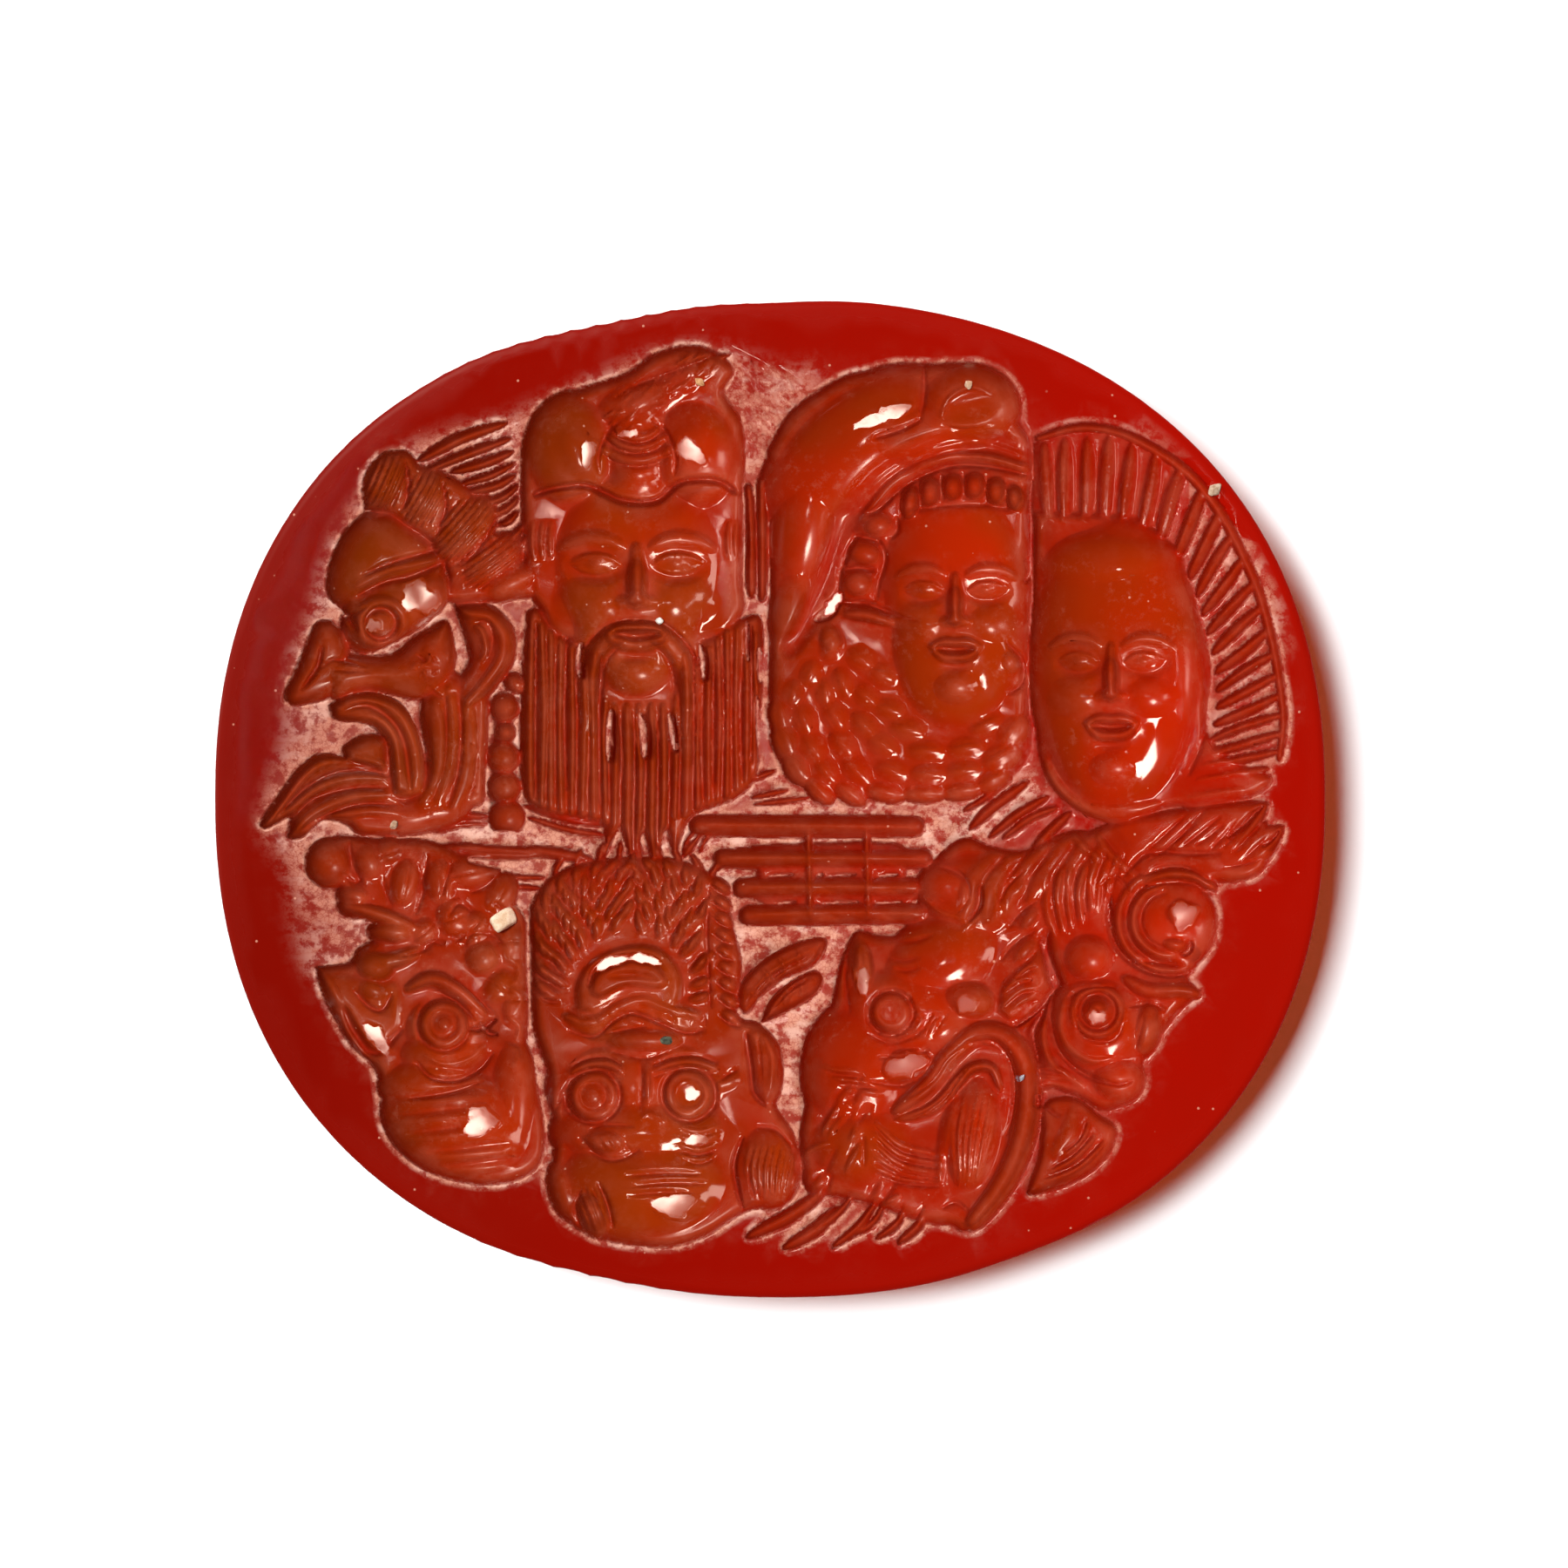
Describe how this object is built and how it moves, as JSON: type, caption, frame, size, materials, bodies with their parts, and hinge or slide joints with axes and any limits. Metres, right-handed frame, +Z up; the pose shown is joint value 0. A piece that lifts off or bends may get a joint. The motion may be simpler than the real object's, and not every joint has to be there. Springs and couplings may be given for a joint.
{
  "type": "engraved oval ring stone",
  "caption": "Oval translucent red carnelian ring stone, flat-backed and gently domed, its face cut in intaglio with theatre masks and reed pipes, with small grains lodged in the cuts.",
  "frame": {"origin": "middle of the flat back, on the surface that the stone lies on", "axes": "+Z up out of the engraved face, +X along the long line of the oval towards the wreathed mask, +Y towards the upper row of masks"},
  "size_m": [0.017, 0.0152, 0.0036],
  "materials": {
    "carnelian": "polished translucent quartz, frosted inside the cuts",
    "beige_grit": "rough sand grain",
    "tan_grit": "dry soil crumb",
    "green_grit": "dull dark crumb",
    "orange_grit": "dry soil crumb",
    "white_grit": "smooth pale grain",
    "blue_grit": "smooth pale grain"
  },
  "bodies": {
    "root": {"carnelian_stone": "carnelian", "beige_grain": "beige_grit", "rim_grain": "tan_grit", "green_grain": "green_grit", "cream_grain": "beige_grit", "orange_grain": "orange_grit", "tan_grain": "tan_grit", "white_grain": "white_grit", "blue_grain": "blue_grit"}
  },
  "joints": []
}
